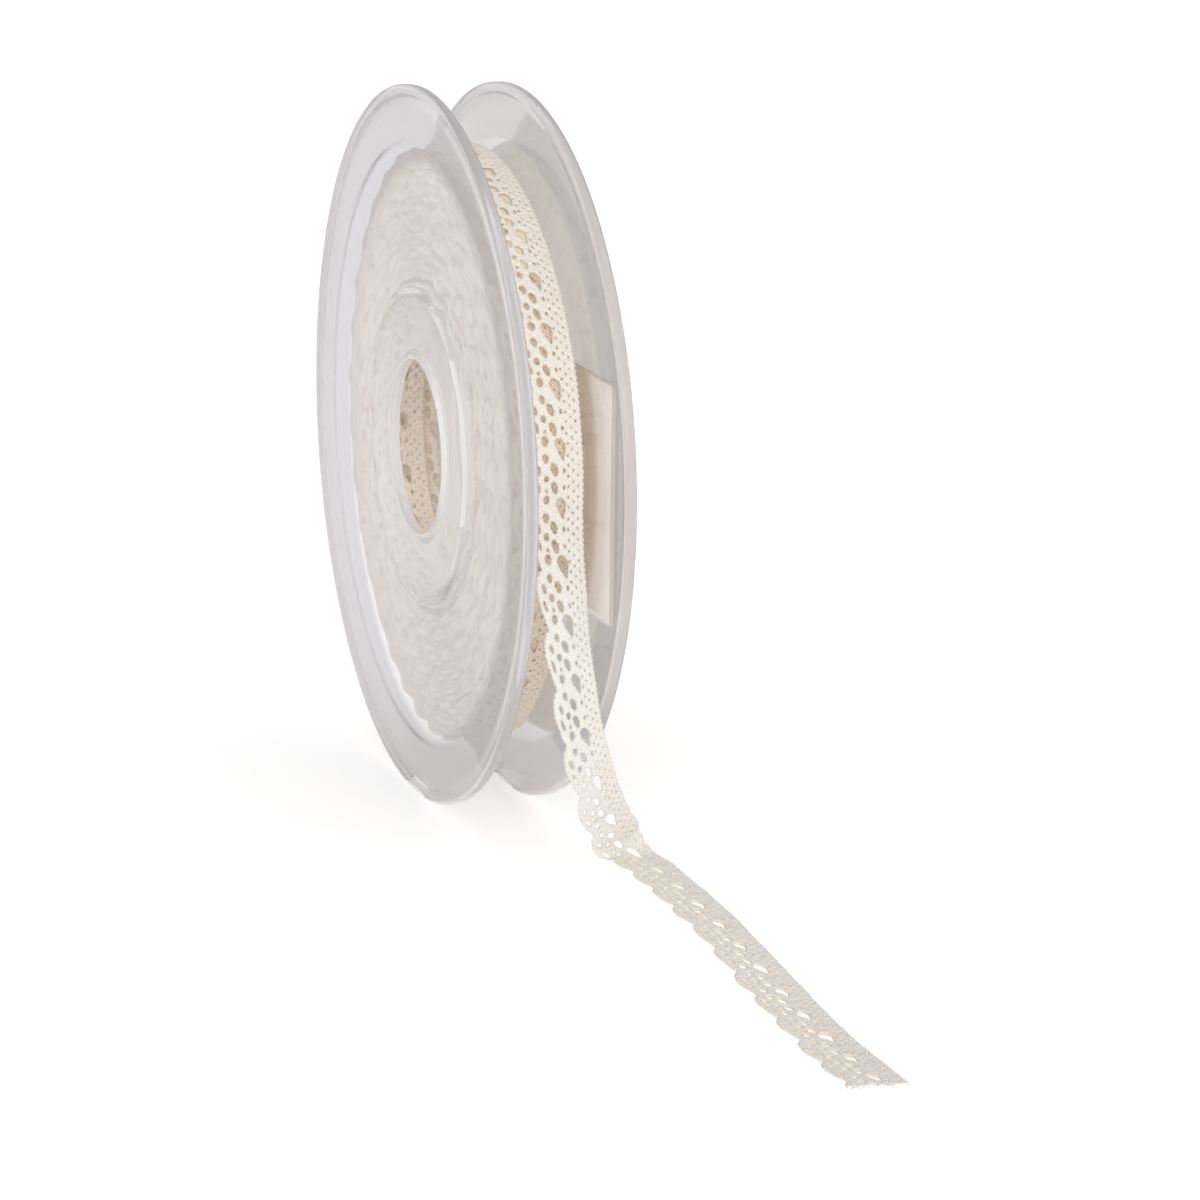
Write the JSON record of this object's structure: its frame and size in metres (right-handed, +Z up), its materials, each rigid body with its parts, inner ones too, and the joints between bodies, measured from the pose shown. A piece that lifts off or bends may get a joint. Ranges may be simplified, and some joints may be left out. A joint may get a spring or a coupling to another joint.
{
  "type": "spool of lace ribbon",
  "caption": "Clear flanged spool standing on its rims, wound with narrow cream cotton lace; the scalloped loose end hangs in front and lies forward on the surface.",
  "frame": {"origin": "middle of the flat spot under the left flange's rim, on the surface the spool stands on", "axes": "+X along the spool's axis from the left flange to the right one, the loose end runs forward along -Y, +Z up"},
  "size_m": [0.0315, 0.2438, 0.1377],
  "materials": {
    "clear_plastic": "glossy clear polystyrene, a little milky",
    "cream_cotton": "matt cotton bobbin lace",
    "plain_paper": "blank matt paper label"
  },
  "bodies": {
    "root": {"left_flange_and_hub": "clear_plastic", "right_flange_and_spigot": "clear_plastic", "lace_roll": "cream_cotton", "lace_tail": "cream_cotton", "label": "plain_paper"}
  },
  "joints": []
}
